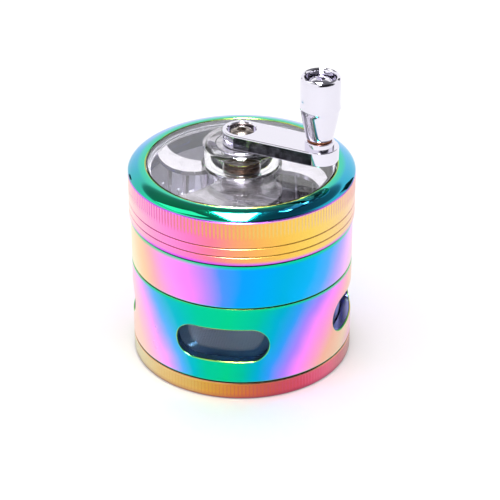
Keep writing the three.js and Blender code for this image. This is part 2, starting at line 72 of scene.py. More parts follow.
_, TRAY_TOP, BODY_R = levels("base_tray")
_, COLLECTOR_TOP, _ = levels("collector_body")
CHAMBER_LOW, NECK_TOP, _ = levels("chamber_body")
CHAMBER_SKIRT = CHAMBER_LOW + 4.65  # mm, above the spigot
CHAMBER_TOP = CHAMBER_SKIRT + 13.2  # mm, above the plated band
LID_LOW, LID_TOP, LID_R = levels("lid_ring")
SEAM = 0.3
knob_low, knob_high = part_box("knob_grip")
KNOB_AXIS = tuple((knob_low + knob_high).xy / 2 / MM)
ARM_ANGLE = degrees(atan2(KNOB_AXIS[0], -KNOB_AXIS[1]))
ARM_REACH = hypot(*KNOB_AXIS)
print("body radius", BODY_R, "lid radius", LID_R, "arm reach", round(ARM_REACH, 2), "at", round(ARM_ANGLE, 1))

# %% [markdown]
# ## Working as by hand
#
# Almost everything here was made on a lathe, so the first tool is a lathe too: one vertex is walked
# along the section's outline, and the line is spun round the axis. Flat parts start from the same
# traced line, which is filled and pushed up. Holes and windows are cut with Boolean tools, and
# a small bevel breaks every sharp edge so that it catches the light.

# %% Trace an outline
def deselect():
    """Leaves nothing selected."""
    bpy.ops.object.select_all(action="DESELECT")


def trace(name, points, closed=True):
    """Walks one vertex through points in millimetres, and stays in edit mode with the line selected."""
    deselect()
    bpy.ops.mesh.primitive_plane_add(size=MM, enter_editmode=True)
    piece = bpy.context.object
    piece.name = name
    bpy.ops.mesh.merge(type="CENTER")
    path = [Vector(p) * MM for p in points]
    bpy.ops.transform.translate(value=path[0])
    for here, there in zip(path, path[1:] + path[:1] * closed):
        bpy.ops.mesh.extrude_region_move(TRANSFORM_OT_translate={"value": there - here})
    bpy.ops.mesh.select_all(action="SELECT")
    bpy.ops.mesh.remove_doubles(threshold=0.002 * MM)
    return piece


def close_up(piece):
    """Merges doubles, turns the faces outwards and leaves edit mode."""
    bpy.ops.mesh.select_all(action="SELECT")
    bpy.ops.mesh.remove_doubles(threshold=0.002 * MM)
    bpy.ops.mesh.normals_make_consistent(inside=False)
    bpy.ops.object.mode_set(mode="OBJECT")
    return piece


# %% Turn and push up
def turned(name, profile, steps=128, centre=(0, 0)):
    """Spins a line of (radius, height) points round an upright axis. A line from the axis stays open."""
    x, y = centre
    on_axis = profile[0][0] == 0
    piece = trace(name, [(x + r, y, z) for r, z in profile], closed=not on_axis)
    bpy.ops.mesh.spin(steps=steps, angle=2 * pi, center=(x * MM, y * MM, 0), axis=(0, 0, 1))
    return close_up(piece)


def pushed(name, outline, step):
    """Fills a traced outline and pushes it along a step, in millimetres."""
    piece = trace(name, outline)
    bpy.ops.mesh.edge_face_add()
    bpy.ops.mesh.extrude_region_move(TRANSFORM_OT_translate={"value": Vector(step) * MM})
    return close_up(piece)


def arc(radius, start, end, count, centre=(0, 0)):
    """Points on an arc, from one angle to another, in degrees from +X."""
    turns = [radians(start + (end - start) * i / count) for i in range(count + 1)]
    return [(centre[0] + radius * cos(t), centre[1] + radius * sin(t)) for t in turns]


# %% Modify, cut and join
def modify(piece, kind, **settings):
    """Adds a modifier and applies it."""
    deselect()
    piece.select_set(True)
    bpy.context.view_layer.objects.active = piece
    modifier = piece.modifiers.new(kind.title(), kind)
    for key, value in settings.items():
        setattr(modifier, key, value)
    bpy.ops.object.modifier_apply(modifier=modifier.name)


def soften(piece, width, segments=2, **settings):
    """Bevels the edges that turn more than 30 degrees, width in millimetres."""
    modify(piece, "BEVEL", width=width * MM, segments=segments, angle_limit=radians(30), **settings)


def combine(piece, tool, operation="DIFFERENCE"):
    """Cuts the tool out of the piece, or joins it on, and throws the tool away."""
    modify(piece, "BOOLEAN", object=tool, operation=operation, solver="EXACT")
    bpy.data.objects.remove(tool)


def one_object(pieces):
    """Makes one object of several."""
    deselect()
    for piece in pieces:
        piece.select_set(True)
    bpy.context.view_layer.objects.active = pieces[0]
    bpy.ops.object.join()
    return pieces[0]


def paint(piece, *materials):
    """Adds finishes to a piece. The first covers it until some faces are given another."""
    for material in materials:
        piece.data.materials.append(material)


def paint_faces(piece, index, wanted):
    """Gives a material slot to the faces whose centre, as (radius, height) in millimetres, is wanted."""
    chosen = [f for f in piece.data.polygons if wanted(f.center.xy.length / MM, f.center.z / MM)]
    for face in chosen:
        face.material_index = index
    print(piece.name, "has", len(chosen), "faces of", piece.data.materials[index].name)


def place(piece, body, slot, *nodes, smooth=35):
    """Smooths the shading, then lets the piece ride on its body and stand for its CAD nodes."""
    deselect()
    piece.select_set(True)
    bpy.context.view_layer.objects.active = piece
    bpy.ops.object.shade_smooth_by_angle(angle=radians(smooth))
    modify(piece, "WEIGHTED_NORMAL", keep_sharp=True)
    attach(piece, body)
    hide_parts(*nodes)
    print(piece.name, "has", len(piece.data.polygons), "faces and rides on", body)


# %% [markdown]
# ## Colour and nodes
#
# Colours are written as the sRGB hex values that a paint chart gives, and one function turns them to
# the linear values that the shader works with. One more function adds a shader node.

# %% Colour and nodes
def linear(code):
    """An sRGB hex colour as linear RGBA."""
    parts = [int(code[i:i + 2], 16) / 255 for i in (0, 2, 4)]
    return [p / 12.92 if p <= 0.04045 else ((p + 0.055) / 1.055) ** 2.4 for p in parts] + [1]


def add(tree, kind, links=None, stops=None, **settings):
    """Adds a node with its settings. Links are its inputs, each a socket to join or a value to set."""
    node = tree.nodes.new("ShaderNode" + kind)
    for key, value in settings.items():
        setattr(node, key, value)
    for key, value in (links or {}).items():
        if isinstance(value, bpy.types.NodeSocket):
            tree.links.new(value, node.inputs[key])
        else:
            node.inputs[key].default_value = value
    if stops:
        points = node.color_ramp.elements
        while len(points) < len(stops):
            points.new(0.5)
        for point, (position, code) in zip(points, stops):
            point.position = position
        for point, (position, code) in zip(points, stops):
            point.color = linear(code)
    return node


def material(name, **shader):
    """A new material, with its tree, its Principled shader and its object coordinates."""
    made = bpy.data.materials.new(name)
    made.use_nodes = True
    tree = made.node_tree
    principled = tree.nodes["Principled BSDF"]
    for key, value in shader.items():
        socket = "IOR" if key == "ior" else key.replace("_", " ").title()
        principled.inputs[socket].default_value = value
    where = add(tree, "TexCoord").outputs["Object"]
    return made, tree, principled, where


# %% [markdown]
# ## Rainbow vapour plating
#
# The zinc sections are polished, then coated in a vacuum chamber with a film of titanium oxide a few
# hundred nanometres thick. Its thickness decides which colour is cancelled out, so the hue drifts round
# each section from gold through pink and blue to green, and jumps at the edges, where the film grows
# thicker. On a real part the hue also leans with the angle of view. Here the drift round the axis
# is painted by the angle round the body, so the pattern stays in place from every side.
# The film lies on metal, so the shader is fully metallic, with a satin roughness from the blasting.

# %% The satin rainbow film
FILM_ROUGHNESS = (0.2, 0.3)
TURNING_PITCH = 0.35  # mm between turning marks; real ones are finer and would not show
FILM_CLOUD = 14  # mm across one cloud in the film
FILM_DRIFT = 0.09  # how far a cloud moves the hue, in radians
VALLEY = 0.1  # mm below the wall where a flute has its full colour
VALLEY_LEAN = 0.42  # how far the hue runs ahead in a flute, in radians
VALLEY_SHADE = 0.16  # how much painted shade darkens a flute, by its depth
FLUTE_PAINTED_SHADE = "80609c"
INSIDE_FRONT_PAINTED_SHADE, INSIDE_SIDES = "4c8098", "a09cdc"  # hues of the cut walls and the inside; the darker front and back hue is painted shade in the recesses
FLUTE_DEPTH, LINE_DEPTH, INSIDE_DEPTH = (0.01, VALLEY), (0.12, 0.3), (0.4, 0.6)  # mm below the wall


def angle_round(tree, where):
    """The angle round the axis from the front, in radians, and the coordinates it comes from."""
    axes = add(tree, "SeparateXYZ", {0: where}).outputs
    back = add(tree, "Math", {0: axes["Y"], 1: -1.0}, operation="MULTIPLY").outputs[0]
    return add(tree, "Math", {0: axes["X"], 1: back}, operation="ARCTAN2").outputs[0], axes


def film(name, stops, foot, crown, low, high, wall=BODY_R, widths=(0.45, 0.45), squeeze=0, line="8a7c44",
         roughness=FILM_ROUGHNESS, **shader):
    """Stops are (angle from the front, colour); foot and crown are the hues near the low and high rims.

    Squeeze draws the hues together towards the foot of the wall, as a share of a radian, and
    line is the hue in a turned groove.
    """
    made, tree, principled, where = material(name, metallic=1.0, **shader)
    cloud = add(
        tree, "TexNoise", {"Vector": where, "Scale": 1 / (FILM_CLOUD * MM), "Detail": 2.0},
    ).outputs["Fac"]
    turn, axes = angle_round(tree, where)
    drift = add(tree, "MapRange", {"Value": cloud, "To Min": -FILM_DRIFT, "To Max": FILM_DRIFT}).outputs[0]
    flat = add(tree, "Mapping", {0: where, "Scale": (1, 1, 0)}).outputs[0]
    radius = add(tree, "VectorMath", {0: flat}, operation="LENGTH").outputs["Value"]
    depth = [
        add(
            tree, "MapRange",
            {"Value": radius, "From Min": (wall - above) * MM, "From Max": (wall - below) * MM},
            interpolation_type="SMOOTHSTEP",
        ).outputs[0]
        for above, below in (FLUTE_DEPTH, LINE_DEPTH, INSIDE_DEPTH)
    ]
    swing = add(tree, "Math", {0: turn}, operation="SINE").outputs[0]
    footward = add(
        tree, "MapRange",
        {"Value": axes["Z"], "From Min": low * MM, "From Max": high * MM,
         "To Min": squeeze / 2, "To Max": -squeeze / 2},
    ).outputs[0]
    shift = add(tree, "Math", {0: swing, 1: footward, 2: drift}, operation="MULTIPLY_ADD").outputs[0]
    lean = add(tree, "Math", {0: depth[0], 1: VALLEY_LEAN, 2: shift}, operation="MULTIPLY_ADD").outputs[0]
    drifted = add(tree, "Math", {0: turn, 1: lean}, operation="ADD").outputs[0]
    share = add(tree, "MapRange", {"Value": drifted, "From Min": -pi, "From Max": pi}).outputs[0]
    hue = add(tree, "ValToRGB", {0: share}, stops=[(0.5 + a / 360, code) for a, code in stops]).outputs[0]
    for rim, inward, code in ((low, widths[0], foot), (high, -widths[1], crown)):
        near = add(
            tree, "MapRange", {"Value": axes["Z"], "From Min": (rim + inward) * MM, "From Max": rim * MM},
            interpolation_type="SMOOTHSTEP",
        ).outputs[0]
        hue = add(tree, "Mix", {"Factor": near, 6: hue, 7: linear(code)}, data_type="RGBA").outputs[2]
    # Painted shade: the flutes are darkened towards a dull violet by their depth.
    shade = add(tree, "Math", {0: depth[0], 1: VALLEY_SHADE}, operation="MULTIPLY").outputs[0]
    flute_shaded = add(tree, "Mix", {"Factor": shade, 6: hue, 7: linear(FLUTE_PAINTED_SHADE)}, data_type="RGBA").outputs[2]
    lined = add(tree, "Mix", {"Factor": depth[1], 6: flute_shaded, 7: linear(line)}, data_type="RGBA").outputs[2]
    # The swing squared is 0 at the front and back and 1 at the sides, so the inside is painted darker at the
    # front and back as shade.
    aside = add(tree, "Math", {0: swing, 1: swing}, operation="MULTIPLY").outputs[0]
    inside = add(
        tree, "Mix", {"Factor": aside, 6: linear(INSIDE_FRONT_PAINTED_SHADE), 7: linear(INSIDE_SIDES)}, data_type="RGBA",
    ).outputs[2]
    colour = add(tree, "Mix", {"Factor": depth[2], 6: lined, 7: inside}, data_type="RGBA").outputs[2]
    tree.links.new(colour, principled.inputs["Base Color"])
    rough = add(tree, "MapRange", {"Value": cloud, "To Min": roughness[0], "To Max": roughness[1]}).outputs[0]
    tree.links.new(rough, principled.inputs["Roughness"])
    lines = add(tree, "Mapping", {0: where, "Scale": (0, 0, 1 / (TURNING_PITCH * MM))}).outputs[0]
    marks = add(tree, "TexNoise", {"Vector": lines, "Scale": 1.0, "Detail": 1.0}).outputs["Fac"]
    bump = add(tree, "Bump", {"Strength": 0.06, "Distance": 0.02 * MM, "Height": marks}).outputs[0]
    tree.links.new(bump, principled.inputs["Normal"])
    return made


# The tray's foot hue is a dark mauve that darkens the lowest 2 mm towards the floor: a painted shade.
tray_film = film(
    "satin_gold_rainbow_film",
    [(-180, "b24a52"), (-150, "c09a48"), (-110, "cdc8a8"), (-70, "d8d4b8"), (-50, "d8cd9c"), (-28, "dabc70"),
     (-8, "d8a248"), (8, "d4803e"), (20, "cc6248"), (32, "c85458"), (44, "cc5464"), (60, "dc6a88"),
     (85, "cf8a86"), (120, "c0a060"), (150, "c07a3a"), (180, "b24a52")],
    "8c4468", "e0a878", -1, TRAY_TOP, widths=(3, 0.6),
)
collector_film = film(
    "satin_green_rainbow_film",
    [(-180, "04c090"), (-150, "20a0e8"), (-125, "fa90f4"), (-90, "f6d0b8"), (-66, "fbd0c0"), (-50, "fcb8e0"),
     (-40, "f6a4fe"), (-34, "b0a8ff"), (-29, "58b0f4"), (-21, "06bac8"), (-10, "04c89a"), (4, "06cc8c"),
     (14, "04c09c"), (24, "04acd0"), (32, "309cf0"), (41, "a884fa"), (50, "fc8efc"), (60, "fba0d4"),
     (72, "f4bca0"), (90, "f2d6b4"), (125, "fa90f4"), (152, "30a0e8"), (180, "04c090")],
    "30d8a0", "10d090", TRAY_TOP + SEAM, COLLECTOR_TOP, widths=(0.5, 1.1), squeeze=0.7, line="205868",
)
chamber_film = film(
    "satin_blue_rainbow_film",
    [(-180, "04aaf0"), (-150, "b48cff"), (-128, "fc94ee"), (-95, "f4ecc0"), (-62, "f0e2b4"), (-50, "f6cca0"),
     (-40, "fab0b8"), (-30, "fc9cec"), (-19, "fa88fe"), (-9, "b888fe"), (0, "4c90fe"), (10, "0c9cfa"),
     (22, "02a6ee"), (34, "02aede"), (48, "06b2f2"), (58, "48acfe"), (68, "b0a4fe"), (80, "f0b4fc"),
     (100, "f8ccd0"), (130, "fc94ee"), (155, "a08cff"), (180, "04aaf0")],
    "10c8b0", "0cd488", COLLECTOR_TOP + SEAM, CHAMBER_TOP, widths=(0.6, 1.5), squeeze=0.25,
)
lid_film = film(
    "satin_rose_rainbow_film",
    [(-180, "f6a070"), (-150, "f6cc60"), (-110, "f4d8a8"), (-70, "f8d8c8"), (-52, "f8bcca"), (-40, "f8a2ce"),
     (-28, "f88cd2"), (-15, "f67cc0"), (-4, "f07e98"), (6, "f09a74"), (16, "f0ae5c"), (30, "f2c054"),
     (46, "f6cf60"), (60, "f6d27c"), (80, "f2cca0"), (120, "f89ac8"), (150, "f47cbe"), (180, "f6a070")],
    "cc4cff", "e478fc", LID_LOW, 56.05, wall=LID_R, widths=(1.5, 0.7),
)
print("films:", [m.name for m in (tray_film, collector_film, chamber_film, lid_film)])

# %% [markdown]
# The bezel of the lid is polished before plating, so the same film looks like coloured glass over
# a mirror: deep teal with sharp reflections. A clear coat gives the white highlight. Where an edge
# is broken, the film is thicker and turns yellow-green, which draws a thin bright line round
# the windows and the rims.

# %% The glossy bezel and the film on broken edges
# Towards the back the bezel's stops turn pale blue-white: a painted reflection of the bright wall at a
# grazing angle.
bezel_film_and_painted_reflection = film(
    "polished_teal_film_with_painted_pale_back",
    [(-180, "b0bcf4"), (-120, "80b0ec"), (-95, "44aae0"), (-70, "10acc0"), (-52, "06b49c"), (-35, "04dc98"),
     (-15, "04d090"), (2, "06c8a0"), (20, "0490a0"), (40, "0488b0"), (60, "04a0bc"), (85, "10a8cc"),
     (110, "40b4e0"), (135, "90b8f0"), (180, "b0bcf4")],
    "a878ff", "1ec8a4", 56.1, LID_TOP, wall=0, widths=(0.3, 0.3), roughness=(0.05, 0.09), coat_weight=0.4,
)
edge_film, tree, principled, where = material("yellow_green_edge_film", metallic=1.0, roughness=0.2)
spots = add(tree, "TexNoise", {"Vector": where, "Scale": 1 / (9 * MM), "Detail": 1.0}).outputs["Fac"]
tint = add(tree, "ValToRGB", {0: spots}, stops=[(0.3, "54c87c"), (0.5, "94cc5c"), (0.7, "c8b84c")]).outputs[0]
tree.links.new(tint, principled.inputs["Base Color"])
print("edge film ready")

# %% [markdown]
# ## Plain metals and plastics
#
# Chrome plate on a cast zinc arm is a mirror with a cold tint; the casting under it is never quite flat,
# so reflections wander a little. Its flat flanks are left rougher and painted near black: a painted dark
# reflection. The rotor is bare zinc: the slim blades are polished and the wide ones are satin, painted
# darker as shade. The inside of the chamber is painted darker on one side, a painted shade.
# The bush is sintered bronze with open pores, and the rings are milky nylon.

# %% Chrome plate
chrome, tree, principled, where = material("chrome_plate_on_zinc", metallic=1.0)
principled.inputs["Base Color"].default_value = linear("e6e3ee")
wander = add(tree, "TexNoise", {"Vector": where, "Scale": 1 / (7 * MM), "Detail": 2.0}).outputs["Fac"]
smudge = add(tree, "MapRange", {"Value": wander, "To Min": 0.03, "To Max": 0.1}).outputs[0]
tree.links.new(smudge, principled.inputs["Roughness"])
bump = add(tree, "Bump", {"Strength": 0.12, "Distance": 0.08 * MM, "Height": wander}).outputs[0]
tree.links.new(bump, principled.inputs["Normal"])
print(chrome.name)


# %% Satin, steel and nickel
def worked_metal(name, dark, light, roughness, grain, depth, painted_side_shade=None):
    """A metal mottled between two colours, with a grain in millimetres and a bump depth in millimetres.

    The last argument is (angle from the front, colour) stops of a painted shade that darkens one side.
    """
    made, tree, principled, where = material(name, metallic=1.0)
    grains = add(tree, "TexNoise", {"Vector": where, "Scale": 1 / (grain * MM), "Detail": 3.0}).outputs["Fac"]
    tone = add(tree, "ValToRGB", {0: grains}, stops=[(0.3, dark), (0.7, light)]).outputs[0]
    if painted_side_shade:
        turn = angle_round(tree, where)[0]
        share = add(tree, "MapRange", {"Value": turn, "From Min": -pi, "From Max": pi}).outputs[0]
        left = add(
            tree, "ValToRGB", {0: share}, stops=[(0.5 + a / 360, code) for a, code in painted_side_shade],
        ).outputs[0]
        tone = add(
            tree, "Mix", {"Factor": 1.0, 6: tone, 7: left}, data_type="RGBA", blend_type="MULTIPLY",
        ).outputs[2]
    tree.links.new(tone, principled.inputs["Base Color"])
    rough = add(
        tree, "MapRange", {"Value": grains, "To Min": roughness[0], "To Max": roughness[1]},
    ).outputs[0]
    tree.links.new(rough, principled.inputs["Roughness"])
    bump = add(tree, "Bump", {"Strength": 0.3, "Distance": depth * MM, "Height": grains}).outputs[0]
    tree.links.new(bump, principled.inputs["Normal"])
    return made


polished_zinc = worked_metal("polished_zinc_blades", "e6e2e6", "f2eef2", (0.1, 0.16), 2.5, 0.01)
# The wide blades' zinc is satin and painted much darker than the polished blades: a painted shade.
satin_zinc_painted_darker = worked_metal("satin_zinc_blades_painted_darker", "8c888c", "bcb8bc", (0.15, 0.25), 3.5, 0.02)
# Painted reflection: the arm's flat flanks are a near-black chrome that stands for the dark things they
# reflect.
painted_dark_flank = worked_metal("chrome_flank_painted_near_black", "06070a", "606068", (0.12, 0.22), 1.6, 0.05)
# Painted shade: the inside of the chamber is darkened from 45 to 155 degrees round the axis.
zinc_with_painted_side_shade = worked_metal(
    "zinc_painted_darker_on_one_side", "a6a4ac", "bab8c0", (0.5, 0.65), 0.9, 0.02,
    [(-180, "f4f4f8"), (20, "f4f4f8"), (45, "4c4648"), (155, "4c4648"), (176, "f4f4f8"), (180, "f4f4f8")],
)
dull_steel = worked_metal("dulled_screw_steel", "5c5250", "b8aca4", (0.15, 0.25), 1.2, 0.02)
cast_zinc = worked_metal("matt_zinc_casting", "9a989e", "b0aeb4", (0.5, 0.65), 0.9, 0.02)
steel = worked_metal("polished_steel", "b2b0b6", "d0ced4", (0.12, 0.2), 1.5, 0.01)
nickel = worked_metal("nickel_plated_magnet", "b4b0a8", "cac6be", (0.15, 0.25), 2.0, 0.01)
bronze = worked_metal("sintered_bronze", "241a15", "523c2f", (0.25, 0.4), 0.5, 0.03)
copper = worked_metal("copper_washer", "84503a", "b87a5c", (0.25, 0.4), 0.8, 0.02)


# %% Nylon and rubber
def moulded_plastic(name, dark, light, roughness, grain, **shader):
    """A moulded plastic with a faint cloudy tone and a fine spark-eroded grain, in millimetres."""
    made, tree, principled, where = material(name, roughness=roughness, **shader)
    grains = add(tree, "TexNoise", {"Vector": where, "Scale": 1 / (grain * MM), "Detail": 2.0}).outputs["Fac"]
    tone = add(tree, "ValToRGB", {0: grains}, stops=[(0.3, dark), (0.7, light)]).outputs[0]
    tree.links.new(tone, principled.inputs["Base Color"])
    bump = add(tree, "Bump", {"Strength": 0.2, "Distance": 0.02 * MM, "Height": grains}).outputs[0]
    tree.links.new(bump, principled.inputs["Normal"])
    return made


nylon = moulded_plastic("milky_nylon", "dedacf", "f0ece2", 0.45, 1.2, ior=1.53, subsurface_weight=0.2)
nylon.node_tree.nodes["Principled BSDF"].inputs["Subsurface Scale"].default_value = 0.8 * MM
seal_rubber = moulded_plastic("seal_rubber", "3c3d42", "4e4f55", 0.6, 0.6, ior=1.52)

# %% [markdown]
# The lid window and its hub are one clear acrylic moulding, and the tube behind the four windows is
# thinner and slightly smoky. Light has to fall through them on the parts inside, so a shadow ray sees
# them as open, while everything else sees real refraction.


# %% Clear plastics
def clear_plastic(name, tint, ior, roughness):
    """A clear plastic with a tint, a refractive index and faint flow marks."""
    made, tree, principled, where = material(name, ior=ior, transmission_weight=1.0, roughness=roughness)
    principled.inputs["Base Color"].default_value = linear(tint)
    streaks = add(tree, "TexNoise", {"Vector": where, "Scale": 1 / (5 * MM), "Detail": 1.0}).outputs["Fac"]
    bump = add(tree, "Bump", {"Strength": 0.1, "Distance": 0.03 * MM, "Height": streaks}).outputs[0]
    tree.links.new(bump, principled.inputs["Normal"])
    shadow = add(tree, "LightPath").outputs["Is Shadow Ray"]
    open_air = add(tree, "BsdfTransparent", {"Color": linear(tint)}).outputs[0]
    both = add(tree, "MixShader", {0: shadow, 1: principled.outputs[0], 2: open_air}).outputs[0]
    tree.links.new(both, tree.nodes["Material Output"].inputs["Surface"])
    return made


acrylic = clear_plastic("clear_acrylic", "fcfcff", 1.49, 0.02)
smoky_tube = clear_plastic("smoky_polycarbonate", "a6cce8", 1.58, 0.03)

# %% [markdown]
# The sieve is woven from stainless wire. A real kitchen-fine mesh has about 0.25 mm between wires,
# which would melt into grey here, so the weave is drawn at 0.8 mm.

# %% Woven steel mesh
WIRE_PITCH = 0.8
steel_mesh, tree, principled, where = material("woven_steel_mesh", metallic=1.0, roughness=0.3)
weave = []
for direction in ("X", "Y"):
    bands = add(
        tree, "TexWave", {"Vector": where, "Scale": 1 / (WIRE_PITCH * MM) * 0.314, "Distortion": 0.0},
        bands_direction=direction,
    )
    weave.append(bands.outputs["Fac"])
wires = add(tree, "Math", {0: weave[0], 1: weave[1]}, operation="MAXIMUM").outputs[0]
tone = add(tree, "ValToRGB", {0: wires}, stops=[(0.25, "c0c6ce"), (0.6, "dce0e6")]).outputs[0]
tree.links.new(tone, principled.inputs["Base Color"])
bump = add(tree, "Bump", {"Strength": 0.5, "Distance": 0.06 * MM, "Height": wires}).outputs[0]
tree.links.new(bump, principled.inputs["Normal"])
print(steel_mesh.name, "at", WIRE_PITCH, "mm")

# %% [markdown]
# ## Floor, light and camera
#
# Product pictures of plated parts are taken on a white sweep: the floor and the wall behind are bright,
# so the walls of the grinder show their full colour. A strip softbox above draws the white highlight
# on the polished bezel, and a softbox on the left draws a smaller one. The dark part of the room, at
# the front right, and two black flags give the bezel its dark patches.

# %% Floor
deselect()
bpy.ops.mesh.primitive_plane_add(size=3.0, location=(0, 0, 0))
floor = bpy.context.object
floor.name = "floor"
pale, tree, principled, where = material("pale_matt_floor", roughness=0.8)
grey = add(tree, "TexNoise", {"Vector": where, "Scale": 3.0}).outputs["Fac"]
tone = add(tree, "ValToRGB", {0: grey}, stops=[(0.3, "f6f6f7"), (0.7, "fafafb")]).outputs[0]
tree.links.new(tone, principled.inputs["Base Color"])
paint(floor, pale)

# %% Camera
VIEW_AZIMUTH = 10.5
VIEW_ELEVATION = 30.03
VIEW_DISTANCE = 0.60944
TARGET = Vector((2.2437, 0.456, 29.742)) * MM
azimuth, elevation = radians(VIEW_AZIMUTH), radians(VIEW_ELEVATION)
towards_eye = Vector((sin(azimuth) * cos(elevation), -cos(azimuth) * cos(elevation), sin(elevation)))
deselect()
bpy.ops.object.camera_add(location=TARGET + towards_eye * VIEW_DISTANCE)
camera = bpy.context.object
camera.rotation_euler = (-towards_eye).to_track_quat("-Z", "Y").to_euler()
camera.data.sensor_width = 36
camera.data.lens = 155.4
camera.data.clip_start = 0.01
bpy.context.scene.camera = camera
bpy.context.scene.view_settings.view_transform = "Standard"


# %% Light
def softbox(name, ahead, aside, height, width, length, power):
    """A softbox that faces the grinder, its length along the line of sight, in metres and watts."""
    front = Vector((*towards_eye.xy.normalized(), 0))
    right = Vector((-front.y, front.x, 0))
    place_at = front * ahead + right * aside + Vector((0, 0, height))
    out = place_at.normalized()
    across = (right - out * right.dot(out)).normalized()
    deselect()
    bpy.ops.object.light_add(type="AREA", location=place_at)
    lamp = bpy.context.object
    lamp.name = name
    lamp.rotation_euler = Matrix((across, out.cross(across), out)).transposed().to_euler()
    lamp.data.shape = "RECTANGLE"
    lamp.data.size, lamp.data.size_y = width, length
    lamp.data.energy = power
    lamp.visible_diffuse = False  # it only draws reflections; the white room lights the floor


softbox("overhead_strip_box", 0.09, -0.03, 0.9, 0.2, 1.2, 48)
softbox("left_box", 0.0, -0.52, 0.78, 0.5, 0.45, 1.0)


def black_flag(name, azimuth, distance, width, height):
    """An upright black card beside the grinder, which only reflections see, in degrees and metres."""
    x, y = around(distance, azimuth)
    deselect()
    bpy.ops.mesh.primitive_plane_add(
        size=1, location=(x, y, height / 2), rotation=(radians(90), 0, radians(azimuth)))
    flag = bpy.context.object
    flag.scale = (width, height, 1)
    flag.name = name
    paint(flag, flag_cloth)
    flag.visible_camera = flag.visible_diffuse = flag.visible_shadow = flag.visible_transmission = False


flag_cloth, tree, principled, where = material("black_flag_cloth", roughness=1.0)
threads = add(tree, "TexNoise", {"Vector": where, "Scale": 400.0}).outputs["Fac"]
tone = add(tree, "ValToRGB", {0: threads}, stops=[(0.3, "040404"), (0.7, "0a0a0a")]).outputs[0]
tree.links.new(tone, principled.inputs["Base Color"])
black_flag("right_flag", 138, 1.0, 0.34, 0.62)
black_flag("left_flag", -127, 1.0, 0.12, 0.28)

world = bpy.data.worlds.new("white_studio")
bpy.context.scene.world = world
world.use_nodes = True
tree = world.node_tree
background = tree.nodes["Background"]
direction = add(tree, "TexCoord").outputs["Generated"]
height = add(tree, "SeparateXYZ", {0: direction}).outputs["Z"]
dark_side = (*around(1, VIEW_AZIMUTH + 34), 0.0)
facing = add(tree, "VectorMath", {0: direction, 1: dark_side}, operation="DOT_PRODUCT").outputs["Value"]
ceiling = add(
    tree, "ValToRGB", {0: height},
    stops=[(0.0, "ffffff"), (0.56, "ffffff"), (0.6, "9a9a9e"), (0.66, "7c7c80"), (1.0, "5a5a5e")],
).outputs[0]
front_wall = add(
    tree, "ValToRGB", {0: facing},
    stops=[(0.0, "ffffff"), (0.62, "ffffff"), (0.78, "3c3c40"), (1.0, "1c1c1e")],
).outputs[0]
room = add(
    tree, "Mix", {"Factor": 1.0, 6: ceiling, 7: front_wall}, data_type="RGBA", blend_type="MULTIPLY",
).outputs[2]
seen = add(tree, "LightPath").outputs
flat = add(
    tree, "Math", {0: seen["Is Camera Ray"], 1: seen["Is Diffuse Ray"]}, operation="MAXIMUM",
).outputs[0]
light = add(tree, "Mix", {"Factor": flat, 6: room, 7: linear("ffffff")}, data_type="RGBA").outputs[2]
tree.links.new(light, background.inputs["Color"])
background.inputs["Strength"].default_value = 1.1
print("camera at", [round(v, 3) for v in camera.location])

# %% [markdown]
# ## Screw threads
#
# The sections screw together on a coarse thread: one ridge, 2 mm of climb in a turn. A single ridge
# is a short section pulled along a helix, so its outline is traced on the wall and the Screw modifier
# does the pulling. The groove in the mouth above is the same shape, a little wider, cut out.

# %% One thread
LEAD = 2.0
THREAD_STEPS = 72  # in one turn
MOUTH_R, GROOVE_R, SPIGOT_R = 28.25, 28.95, 27.9
SPIGOT_BITE = 0.3  # how far a ridge starts inside the wall


def thread(name, inner, outer, root, crest, start, z, turns):
    """A helical bar, from an angle in degrees and a height in millimetres."""
    section = [(inner, -root), (outer, -crest), (outer, crest), (inner, root)]
    bar = trace(name, [(*around(r, start), z + h) for r, h in section])
    bpy.ops.object.mode_set(mode="OBJECT")
    modify(
        bar, "SCREW", angle=2 * pi * turns, screw_offset=LEAD * turns * MM,
        steps=ceil(THREAD_STEPS * turns), render_steps=ceil(THREAD_STEPS * turns), axis="Z",
    )
    deselect()
    bar.select_set(True)
    bpy.ops.object.mode_set(mode="EDIT")
    bpy.ops.mesh.select_all(action="SELECT")
    bpy.ops.mesh.fill_holes(sides=4)
    return close_up(bar)


def ridge(z, turns):
    """A ridge on a spigot, from a height in millimetres."""
    return thread("ridge", SPIGOT_R - SPIGOT_BITE, SPIGOT_R + 0.75, 0.3, 0.18, 0, z, turns)


def groove(z, turns):
    """The groove that a ridge runs in, a little wider than the ridge."""
    return thread("groove", MOUTH_R - 0.3, GROOVE_R, 0.45, 0.33, -9, z - LEAD / 40, turns)


# %% [markdown]
# ## Knurling
#
# A knurling wheel presses fine upright flutes into the lid and the tray for grip. The wall is turned
# with three columns for each flute, and every third column is pushed in, which leaves a V between
# two flat lands, with as few faces as that can have.

# %% Knurl a band
FLUTES = 186


def knurl(piece, low, high, depth):
    """Pushes every third column of the outer wall in by a depth, between two heights, in millimetres."""
    deselect()
    piece.select_set(True)
    bpy.context.view_layer.objects.active = piece
    bpy.ops.object.mode_set(mode="EDIT")
    bpy.ops.mesh.select_all(action="DESELECT")
    mesh = bmesh.from_edit_mesh(piece.data)
    radius = max(v.co.xy.length for v in mesh.verts)
    valleys = [
        v for v in mesh.verts
        if v.co.xy.length > radius - 0.1 * MM and low < v.co.z / MM < high
        and round(atan2(v.co.y, v.co.x) / (2 * pi) * 3 * FLUTES) % 3 == 0
    ]
    for v in valleys:
        v.select_set(True)
    mesh.select_flush(True)
    bmesh.update_edit_mesh(piece.data)
    share = 1 - depth * MM / radius
    bpy.ops.transform.resize(value=(share, share, 1), center_override=(0, 0, 0))
    bpy.ops.object.mode_set(mode="OBJECT")
    print(piece.name, "has", len(valleys), "valley points")


# %% [markdown]
# ## The powder tray
#
# A shallow dish that catches what falls through the sieve. It would be turned from a zinc casting:
# outline, thread recess, then the knurl. Its underside has a shallow ring so that it stands on its rim.

